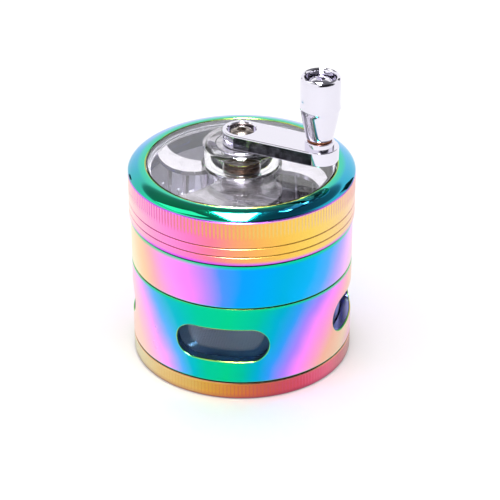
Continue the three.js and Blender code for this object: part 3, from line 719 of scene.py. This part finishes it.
# %% Powder tray
tray = turned("powder_tray", [
    (0, 0.25), (25.2, 0.25), (25.6, 0), (BODY_R - 0.6, 0), (BODY_R - 0.15, 0.2), (BODY_R, 0.6),
    (BODY_R, 0.85), (BODY_R, 1.2), (BODY_R, 4.2), (BODY_R, 4.5), (BODY_R, TRAY_TOP - 0.3),
    (BODY_R - 0.1, TRAY_TOP - 0.08), (BODY_R - 0.3, TRAY_TOP), (29.75, TRAY_TOP), (29.75, 4.4),
    (MOUTH_R, 4.4), (MOUTH_R, 1.9), (MOUTH_R - 0.3, 1.6), (0, 1.6),
], steps=3 * FLUTES)
knurl(tray, 1, 4.4, 0.05)
paint(tray, tray_film)
combine(tray, groove(2.75, 1.2))
place(tray, "base", "tray_metal", "base_tray", smooth=22)

# %% [markdown]
# ## The collector
#
# The tall section: a spigot with one ridge goes into the tray, four oblong windows pierce the wall, and
# the mouth takes the chamber. The windows are milled straight in from the side, so each cutter is
# a straight oblong bar, and its ends are full half circles. A small countersink breaks the rim.

# %% Collector body
SLOT_HALF_W, SLOT_R = 12.88, 5.075
SLOT_Z = TRAY_TOP + SEAM + 6.6 + SLOT_R
collector = turned("collector", [
    (25.9, 2.3), (27.6, 2.3), (SPIGOT_R, 2.6), (SPIGOT_R, 5.45), (BODY_R - 0.3, 5.45), (BODY_R - 0.08, 5.55),
    (BODY_R, 5.8), (BODY_R, 28.7), (BODY_R - 0.08, 28.9), (BODY_R - 0.3, COLLECTOR_TOP + 0.08),
    (29.75, COLLECTOR_TOP + 0.08), (29.75, 28.2), (MOUTH_R, 28.2), (MOUTH_R, 6.6),
    (25.0, 6.6), (25.0, 5.45), (25.9, 3.45),
], steps=192)
paint(collector, collector_film, edge_film)
reach = SLOT_HALF_W - SLOT_R
oblong = arc(SLOT_R, -90, 90, 20, (reach, SLOT_Z)) + arc(SLOT_R, 90, 270, 20, (-reach, SLOT_Z))
for angle in (0, 90, 180, 270):
    out, side = Vector((*around(1, angle), 0)), Vector((cos(radians(angle)), sin(radians(angle)), 0))
    bar = pushed("slot_bar", [side * u + out * 15 + Vector((0, 0, z)) for u, z in oblong], out * 20)
    combine(collector, bar)
paint_faces(collector, 1, lambda r, z: z > 28.85 and r > BODY_R - 0.32)
print("windows cut, the collector has", len(collector.data.polygons), "faces")

# %% Break the rims of the windows
def on_slot_rim(point):
    """Whether a point lies on the outline of a window, on the outer wall."""
    x, y, z = (c / MM for c in point)
    u = min(abs(x), abs(y))
    past = max(u - reach, 0)
    return abs(hypot(x, y) - BODY_R) < 0.05 and abs(hypot(past, z - SLOT_Z) - SLOT_R) < 0.02


deselect()
collector.select_set(True)
bpy.context.view_layer.objects.active = collector
bpy.ops.object.mode_set(mode="EDIT")
bpy.ops.mesh.select_mode(type="EDGE")
bpy.ops.mesh.select_all(action="DESELECT")
mesh = bmesh.from_edit_mesh(collector.data)
rim_edges = [e for e in mesh.edges if all(on_slot_rim(v.co) for v in e.verts)]
for edge in rim_edges:
    edge.select_set(True)
bmesh.update_edit_mesh(collector.data)
bpy.ops.mesh.bevel(offset=0.28 * MM, segments=3, material=1, loop_slide=False, clamp_overlap=False)
bpy.ops.mesh.select_mode(type="VERT")
bpy.ops.object.mode_set(mode="OBJECT")
print(len(rim_edges), "rim edges bevelled")
combine(collector, ridge(2.75, 0.6), "UNION")
combine(collector, groove(25.05, 1.95))
place(collector, "collector", "body_metal", "collector_body")

# %% [markdown]
# ## The chamber
#
# The grinding chamber has a floor with round drop holes, rings of fixed diamond teeth and a collar that
# holds a magnet. Its neck carries the lid. Teeth are tapered so that the casting leaves its mould.

# %% Chamber body
BORE_R, NECK_R = 27.2, 28.5
FLOOR_LOW, FLOOR_TOP = 33.2, 35.2
chamber = turned("chamber", [
    (0, FLOOR_LOW), (25.9, FLOOR_LOW), (25.9, CHAMBER_LOW), (27.6, CHAMBER_LOW),
    (SPIGOT_R, CHAMBER_LOW + 0.3), (SPIGOT_R, CHAMBER_SKIRT), (BODY_R - 0.3, CHAMBER_SKIRT),
    (BODY_R - 0.08, CHAMBER_SKIRT + 0.1),
    (BODY_R, CHAMBER_SKIRT + 0.35), (BODY_R, CHAMBER_TOP - 0.35), (BODY_R - 0.08, CHAMBER_TOP - 0.1),
    (BODY_R - 0.3, CHAMBER_TOP), (NECK_R, CHAMBER_TOP), (NECK_R, NECK_TOP - 0.3), (NECK_R - 0.3, NECK_TOP),
    (BORE_R, NECK_TOP), (BORE_R, FLOOR_TOP + 0.5), (BORE_R - 0.5, FLOOR_TOP), (5.6, FLOOR_TOP), (5.6, 37.3),
    (5.4, 37.5), (4.2, 37.5), (4.2, FLOOR_TOP), (0, FLOOR_TOP),
], steps=160)


TOOTH_LONG, TOOTH_WIDE = 2.1, 1.15  # half a diamond's length and width, for each mm of radius


def tooth(radius, angle, low, high, foot=1.0, tip=0.45):
    """A tapering diamond tooth, 4.2 mm by 2.3 mm where its radius is 1 mm."""
    deselect()
    x, y = around(radius, angle)
    bpy.ops.mesh.primitive_cone_add(
        vertices=4, radius1=foot * MM, radius2=tip * MM, depth=(high - low) * MM,
        location=(x * MM, y * MM, (low + high) / 2 * MM), rotation=(0, 0, radians(angle)),
        scale=(TOOTH_LONG, TOOTH_WIDE, 1),
    )
    made = bpy.context.object
    bpy.ops.object.transform_apply(location=True, rotation=True, scale=True)
    soften(made, 0.22)
    return made


teeth = [
    tooth(radius, 11 * ring + i * 360 / count, 34.9, 46.1)
    for ring, (radius, count) in enumerate(((12.9, 5), (18.1, 7), (23.3, 9)))
    for i in range(count)
]
combine(chamber, one_object(teeth), "UNION")
for radius, count in ((15.5, 8), (20.7, 11)):
    for i in range(count):
        x, y = around(radius, i * 360 / count)
        hole = turned(
            "drop_hole", [(0, 32), (1.9, 32), (1.9, 34.9), (2.3, 35.3), (2.3, 36), (0, 36)], 24, (x, y))
        combine(chamber, hole)
combine(chamber, ridge(25.05, 1.35), "UNION")
# The inside of the chamber takes the zinc with painted shade on one side.
paint(chamber, chamber_film, zinc_with_painted_side_shade)
paint_faces(chamber, 1, lambda r, z: r < BORE_R + 0.1 and z > FLOOR_TOP - 0.3)
place(chamber, "chamber", "body_metal", "chamber_body")

# %% [markdown]
# ## The lid ring
#
# The lid is the showpiece: a knurled band that fades out above two fine lines, and a polished bezel that
# domes over to the window. All of it is one turned outline. The friction ring sits in
# the groove inside, and the window rests on the ledge.

# %% Lid ring
BEZEL_LOW, BEZEL_W, BEZEL_H = 56.2, 5.05, 1.87
WINDOW_BORE = LID_R - BEZEL_W
BEAD = 0.34  # mm, the rounded bead at the window
bezel = [
    (LID_R - BEZEL_W * t ** 1.5, BEZEL_LOW + BEZEL_H * (1 - (1 - t) ** 1.9))
    for t in [0.93 * (i / 20) ** 1.5 for i in range(21)]
]
LINE_HEIGHTS = (45.47, 48.15)
lines = [p for z in LINE_HEIGHTS for p in (
    (LID_R, z - 0.2), (LID_R - 0.1, z - 0.12), (LID_R - 0.33, z - 0.05), (LID_R - 0.33, z + 0.05),
    (LID_R - 0.1, z + 0.12), (LID_R, z + 0.2))]
lid = turned("lid_bezel_ring", [
    (29.1, LID_LOW), (LID_R - 0.6, LID_LOW), (LID_R - 0.15, LID_LOW + 0.2), (LID_R, LID_LOW + 0.6), *lines,
    (LID_R, 50.4), (LID_R, 51.2), (LID_R, 52.4), (LID_R, 55.75), (LID_R, 55.9), (LID_R - 0.1, 56.0),
    (LID_R - 0.25, 56.05), (LID_R - 0.25, 56.12), *bezel, (WINDOW_BORE + BEAD, LID_TOP - 0.03),
    (WINDOW_BORE + BEAD * 0.75, LID_TOP), (WINDOW_BORE + BEAD * 0.4, LID_TOP - 0.02),
    (WINDOW_BORE + BEAD * 0.1, LID_TOP - 0.12), (WINDOW_BORE, LID_TOP - 0.3), (WINDOW_BORE, 55.0),
    (25.2, 55.0), (25.2, 54.4), (BORE_R, 53.4), (BORE_R, 50.9), (29.1, 49.6),
    (29.1, 47.4), (30.15, 47.4), (30.15, 45.0), (29.1, 45.0),
], steps=3 * FLUTES)
knurl(lid, 52.2, 55.8, 0.14)
knurl(lid, 51, 51.5, 0.07)
paint(lid, lid_film, bezel_film_and_painted_reflection, edge_film, cast_zinc)
paint_faces(lid, 1, lambda r, z: z > 56.03 and r > WINDOW_BORE)
paint_faces(lid, 3, lambda r, z: r < WINDOW_BORE + 0.01)
paint_faces(lid, 2, lambda r, z: WINDOW_BORE - 0.1 < r < WINDOW_BORE + BEAD and z > LID_TOP - 0.35)
place(lid, "lid", "lid_metal", "lid_ring", smooth=22)

# %% [markdown]
# ## The clear window and its hub
#
# One acrylic moulding: a disc, a rounded foot and a tall hub with a bearing bore. Rounded corners in
# clear plastic are what the eye reads, because each one draws a bright and a dark line.

# %% Lid window
WINDOW_LOW, HUB_TOP = levels("lid_window")[:2]
WINDOW_TOP = LID_TOP - 0.17
window = turned("clear_lid_window", [
    (8.3, WINDOW_LOW), (26.0, WINDOW_LOW), (26.15, WINDOW_LOW + 0.15), (26.15, WINDOW_TOP - 0.3),
    (26.05, WINDOW_TOP - 0.1), (25.85, WINDOW_TOP), (11.3, WINDOW_TOP), (10.95, WINDOW_TOP + 0.1),
    (10.7, WINDOW_TOP + 0.35), (10.6, WINDOW_TOP + 0.7), (10.35, 60.4), (10.15, 62.6),
    (9.95, 63.2), (9.6, 63.6), (9.1, HUB_TOP), (7.3, HUB_TOP), (7.3, 63.0), (5.55, 63.0),
    (5.55, 56.9), (8.3, 56.9),
], steps=160)
soften(window, 0.1)
paint(window, acrylic, seal_rubber)
paint_faces(window, 1, lambda r, z: r > 26.05 and z < WINDOW_TOP - 0.25)
place(window, "lid", "clear_plastic", "lid_window")

# %% [markdown]
# ## Rings, washers and magnets
#
# The small round parts are all turned rings, so one loop makes them from a table. Each has a broken
# edge or a groove of its own, as the real ones have.

# %% Simple rings
def ring_profile(inner, outer, low, high, edge):
    """A ring with chamfered edges."""
    return [
        (inner + edge, low), (outer - edge, low), (outer, low + edge), (outer, high - edge),
        (outer - edge, high), (inner + edge, high), (inner, high - edge), (inner, low + edge),
    ]


def disc_profile(radius, low, high, edge):
    """A disc with chamfered edges."""
    return [
        (0, low), (radius - edge, low), (radius, low + edge), (radius, high - edge),
        (radius - edge, high), (0, high),
    ]


for name, node, body, slot, finish, profile in (
    ("tray_thread_ring", "lower_thread_ring", "lower_ring", "nylon", nylon,
     ring_profile(28.25, 29.45, 4.55, 5.3, 0.12)),
    ("collector_thread_ring", "upper_thread_ring", "upper_ring", "nylon", nylon,
     ring_profile(28.25, 29.45, 28.35, 29.1, 0.12)),
    ("lid_grip_ring", "lid_friction_ring", "lid_seat", "nylon", nylon,
     ring_profile(28.8, 29.85, 45.15, 47.25, 0.25)),
    ("window_gasket", "window_seal", "lid", "seal_rubber", seal_rubber,
     ring_profile(25.35, 26.15, 55.15, 55.55, 0.1)),
    ("rotor_thrust_washer", "thrust_washer", "lid", "steel", steel,
     ring_profile(4.1, 8.0, 55.55, 56.75, 0.15)),
    ("arm_washer", "hub_washer", "lid", "steel", steel, ring_profile(4.1, 7.0, 63.15, 63.95, 0.12)),
    ("sieve_ring", "sieve_clamp_ring", "collector", "steel", steel,
     ring_profile(26.35, 27.95, 7.3, 8.3, 0.2)),
    ("window_tube", "window_liner", "collector", "clear_plastic", smoky_tube,
     ring_profile(26.95, 27.95, 8.45, 24.3, 0.2)),
    ("chamber_floor_magnet", "chamber_magnet", "chamber", "magnet", nickel,
     disc_profile(3.9, 35.35, 37.35, 0.25)),
    ("rotor_hub_magnet", "rotor_magnet", "crank", "magnet", nickel, disc_profile(3.9, 41.15, 43.15, 0.25)),
    ("fine_sieve", "sieve_mesh", "collector", "steel_mesh", steel_mesh,
     [(0, 6.85), (26.1, 6.85), (26.2, 6.75), (27.95, 6.75), (27.95, 7.15),
      (26.2, 7.15), (26.1, 7.05), (0, 7.05)]),
):
    piece = turned(name, profile)
    soften(piece, 0.05, 1)
    paint(piece, finish)
    place(piece, body, slot, node)

# %% [markdown]
# ## The crank drive
#
# A steel shaft with a square at each end turns in a bronze bush, which shows through the clear hub
# with its three grease grooves. The squares carry the rotor below and the arm above.

# %% Bush and shaft
bush_low, bush_high = 57.05, 62.85
grooves = []
for share in (0.25, 0.5, 0.75):
    middle = bush_low + (bush_high - bush_low) * share
    grooves += [
        (5.25, middle - 0.5), (4.95, middle - 0.36), (4.85, middle), (4.95, middle + 0.36),
        (5.25, middle + 0.5),
    ]
bush = turned("grooved_bush", [
    (4.1, bush_low + 0.15), (4.25, bush_low), (5.1, bush_low), (5.25, bush_low + 0.15), *grooves,
    (5.25, bush_high - 0.15), (5.1, bush_high), (4.25, bush_high), (4.1, bush_high - 0.15),
], steps=96)
soften(bush, 0.06)
paint(bush, bronze)
place(bush, "lid", "bronze", "drive_bush")

TENON, SQUARE_HOLE = 4.2, 4.8


def square_bar(width, height, middle):
    """A square bar on the axis, with its middle at a height in millimetres."""
    deselect()
    bpy.ops.mesh.primitive_cube_add(
        size=1, location=(0, 0, middle * MM), scale=(width * MM, width * MM, height * MM))
    bar = bpy.context.object
    bpy.ops.object.transform_apply(location=True, rotation=True, scale=True)
    return bar


shaft = turned("crank_shaft", [
    (0, 55.55), (3.6, 55.55), (3.8, 55.75), (3.8, 63.75), (3.6, 63.95), (0, 63.95),
], steps=64)
for low, high in ((53.1, 56.0), (63.5, 65.0)):
    tenon = square_bar(TENON, high - low, (low + high) / 2)
    soften(tenon, 0.3)
    combine(shaft, tenon, "UNION")
for low, high in ((52.6, 57.5), (59.45, 65.5)):
    combine(shaft, turned("screw_bore", disc_profile(1.6, low, high, 0.01), 32))
soften(shaft, 0.08)
paint(shaft, chrome)
place(shaft, "crank", "chrome", "drive_shaft")

# %% [markdown]
# ## The rotor
#
# The rotor has two slim and two wide blades. A slim blade and the trailing side of a wide one sweep
# back towards the tip like a propeller, which is what the window shows. Each blade's outline is traced
# from its two curved edges, filled and pushed up, and the teeth hang below.

# %% Rotor blades
ROTOR_LOW, ROTOR_TOP, TIP_R, HUB_R = 54.2, 55.4, 24.5, 5.8
SWEEP_FROM = 11


def sweep(r):
    """How far a blade has swept back at a radius, as a share of its sweep at the tip."""
    return (max(r - SWEEP_FROM, 0) / (TIP_R - SWEEP_FROM)) ** 2


BLADES = (
    (lambda r: 87 - 17 * sweep(r), lambda r: 117.5 - 34 * sweep(r), (0.5,)),
    (lambda r: -26.5 - 8 * sweep(r), lambda r: 57.5 - 34 * sweep(r), (0.2, 0.8)),
)
rotor = turned("bladed_rotor", [
    (0, 41.0), (HUB_R - 0.4, 41.0), (HUB_R, 41.4), (HUB_R, ROTOR_TOP - 0.02), (0, ROTOR_TOP - 0.02),
], steps=64)
radii = [HUB_R - 2 + (TIP_R - HUB_R + 2) * i / 24 for i in range(25)]
rotor_teeth = []
for leading, trailing, shares in BLADES:
    for half in (0, 180):
        ahead = [around(r, leading(r) + half) for r in radii]
        behind = [around(r, trailing(r) + half) for r in reversed(radii)]
        span = trailing(TIP_R) - leading(TIP_R)
        tip = [around(TIP_R, leading(TIP_R) + half + span * i / 16) for i in range(1, 16)]
        outline = [(x, y, ROTOR_LOW) for x, y in ahead + tip + behind]
        blade = pushed("blade", outline, (0, 0, ROTOR_TOP - ROTOR_LOW))
        combine(rotor, blade, "UNION")
        for r in (10.3, 15.5, 20.7):
            for share in shares:
                angle = leading(r) + (trailing(r) - leading(r)) * share + half
                rotor_teeth.append(tooth(r, angle, 40.5, 54.5, foot=0.45, tip=1.0))
combine(rotor, one_object(rotor_teeth), "UNION")
combine(rotor, turned("rotor_bore", [
    (0, 40), (4.2, 40), (4.2, 43.45), (3.1, 43.45), (3.1, 45.95), (1.6, 45.95), (1.6, 56), (0, 56)], 64))
combine(rotor, square_bar(SQUARE_HOLE, 4.1, 55))
soften(rotor, 0.2)
paint(rotor, polished_zinc, satin_zinc_painted_darker)
# The faces in the front and back quarters, the wide blades, take the darker satin zinc, a painted shade.
for face in rotor.data.polygons:
    if abs(face.center.x) < abs(face.center.y) and face.center.xy.length > (HUB_R + 1) * MM:
        face.material_index = 1
place(rotor, "crank", "rotor_metal", "rotor")

# %% [markdown]
# ## Screws
#
# Three screws hold the drive together. The two that show have a low dome and a hexagon socket.

# %% Screws
def domed_screw(name, centre, head_r, seat, height, shank_r, tip, socket_r):
    """A screw with its head's underside at `seat` and its shank down to `tip`."""
    dome = [
        (head_r * cos(t), seat + height * (0.4 + 0.6 * sin(t)))
        for t in [radians(6 * i) for i in range(15)]
    ]
    screw = turned(name, [
        (0, tip), (shank_r - 0.3, tip), (shank_r, tip + 0.3), (shank_r, seat), (head_r - 0.1, seat),
        (head_r, seat + 0.1), *dome, (0, seat + height),
    ], 64, centre)
    deselect()
    x, y = centre
    bpy.ops.mesh.primitive_cylinder_add(
        vertices=6, radius=socket_r * MM, depth=height * MM,
        location=(x * MM, y * MM, (seat + height * 0.95) * MM))
    socket = bpy.context.object
    bpy.ops.object.transform_apply(location=True, rotation=True, scale=True)
    combine(screw, socket)
    soften(screw, 0.05)
    return screw


arm_screw = domed_screw("arm_screw", (0, 0), 3.35, 66.25, 1.8, 1.3, 59.95, 1.4)
paint(arm_screw, dull_steel)
place(arm_screw, "crank", "chrome", "crank_screw")
grip_screw = domed_screw("grip_screw", KNOB_AXIS, 3.4, 86.0, 2.1, 1.8, 65.4, 1.3)
paint(grip_screw, chrome)
place(grip_screw, "crank", "chrome", "knob_screw")
under_screw = turned("rotor_hub_screw", [
    (0, 43.75), (2.6, 43.75), (2.8, 43.95), (2.8, 45.8), (1.3, 45.8),
    (1.3, 56.7), (1.05, 56.95), (0, 56.95)], 48)
soften(under_screw, 0.05)
paint(under_screw, steel)
place(under_screw, "crank", "steel", "rotor_screw")

# %% [markdown]
# ## The crank arm
#
# A cast bar with round ends, a recess for the screw's head over the shaft, and a raised boss under the
# knob. Its outline is traced as an oblong, pushed up, and its edges are rounded as the casting's are.

# %% Crank arm
ARM_LOW, ARM_TOP, ARM_HALF = 64.1, 68.2, 5.3
along = 90 - ARM_ANGLE


def turned_about(point, angle):
    """A point turned clockwise about the axis, in degrees."""
    (x, y), a = point, radians(angle)
    return x * cos(a) + y * sin(a), -x * sin(a) + y * cos(a)


bar = arc(ARM_HALF, -90, 90, 32, (ARM_REACH, 0)) + arc(ARM_HALF, 90, 270, 32)
arm = pushed("crank_arm_bar", [(*turned_about(p, along), ARM_LOW) for p in bar], (0, 0, ARM_TOP - ARM_LOW))
soften(arm, 0.35, 2)
boss = turned("boss", [
    (0, ARM_LOW + 1), (4.05, ARM_LOW + 1), (4.05, ARM_TOP + 1.45), (3.95, ARM_TOP + 1.7),
    (3.7, ARM_TOP + 1.8), (0, ARM_TOP + 1.8)], 64, KNOB_AXIS)
combine(arm, boss, "UNION")
combine(arm, turned("recess", [(0, 66.1), (3.95, 66.1), (3.95, 67.95), (4.3, 68.35), (4.3, 69), (0, 69)], 64))
combine(arm, turned("screw_hole", disc_profile(1.6, 63, 67, 0.01), 32))
combine(arm, turned("grip_hole", disc_profile(2.1, 65.1, 71, 0.01), 32, KNOB_AXIS))
combine(arm, square_bar(SQUARE_HOLE, 2.2, 64.2))
paint(arm, chrome, painted_dark_flank)
# Painted reflection: the faces of the two flat flanks take the near-black chrome.
across = Vector((cos(radians(along)), -sin(radians(along)), 0)).cross(Vector((0, 0, 1)))
for face in arm.data.polygons:
    if abs(face.normal.dot(across)) > 0.98 and face.area > 2 * MM * MM:
        face.material_index = 1
print("flank faces:", sum(f.material_index for f in arm.data.polygons))
place(arm, "crank", "chrome", "crank_arm")

# %% [markdown]
# ## The knob
#
# The knob flares from a slim foot to a soft ridge, runs straight to a rounded lip, and is hollow at the
# top, where the screw's head sits. It turns freely on the screw over a thin copper washer.

# %% Knob and washer
KNOB_LOW, KNOB_TOP = knob_low.z / MM, knob_high.z / MM
KNOB_FOOT_R, KNOB_RIDGE_R = 3.75, 5.42
flare = [
    (KNOB_FOOT_R + (KNOB_RIDGE_R - KNOB_FOOT_R) * (t ** 0.9), KNOB_LOW + 0.35 + 8.35 * t)
    for t in [i / 8 for i in range(9)]
]
knob = turned("turning_knob", [
    (2.1, KNOB_LOW), (3.4, KNOB_LOW), (3.62, KNOB_LOW + 0.1), *flare, (5.57, 79.55), (5.6, 79.9),
    (5.56, 80.25), (5.48, 80.9), (5.46, 82.2), (5.5, 84.0), (5.52, 86.5), (5.46, 87.8), (5.3, 88.5),
    (5.05, 88.86), (4.75, KNOB_TOP),
    (4.5, 88.88), (4.25, 88.55), (4.15, 88.1), (4.15, 85.7), (2.1, 85.7),
], 96, KNOB_AXIS)
paint(knob, chrome)
place(knob, "knob", "chrome", "knob_grip", smooth=40)

washer = turned("copper_knob_washer", ring_profile(2.1, 3.4, 70.15, 70.45, 0.06), 64, KNOB_AXIS)
paint(washer, copper)
place(washer, "crank", "bronze", "knob_washer")
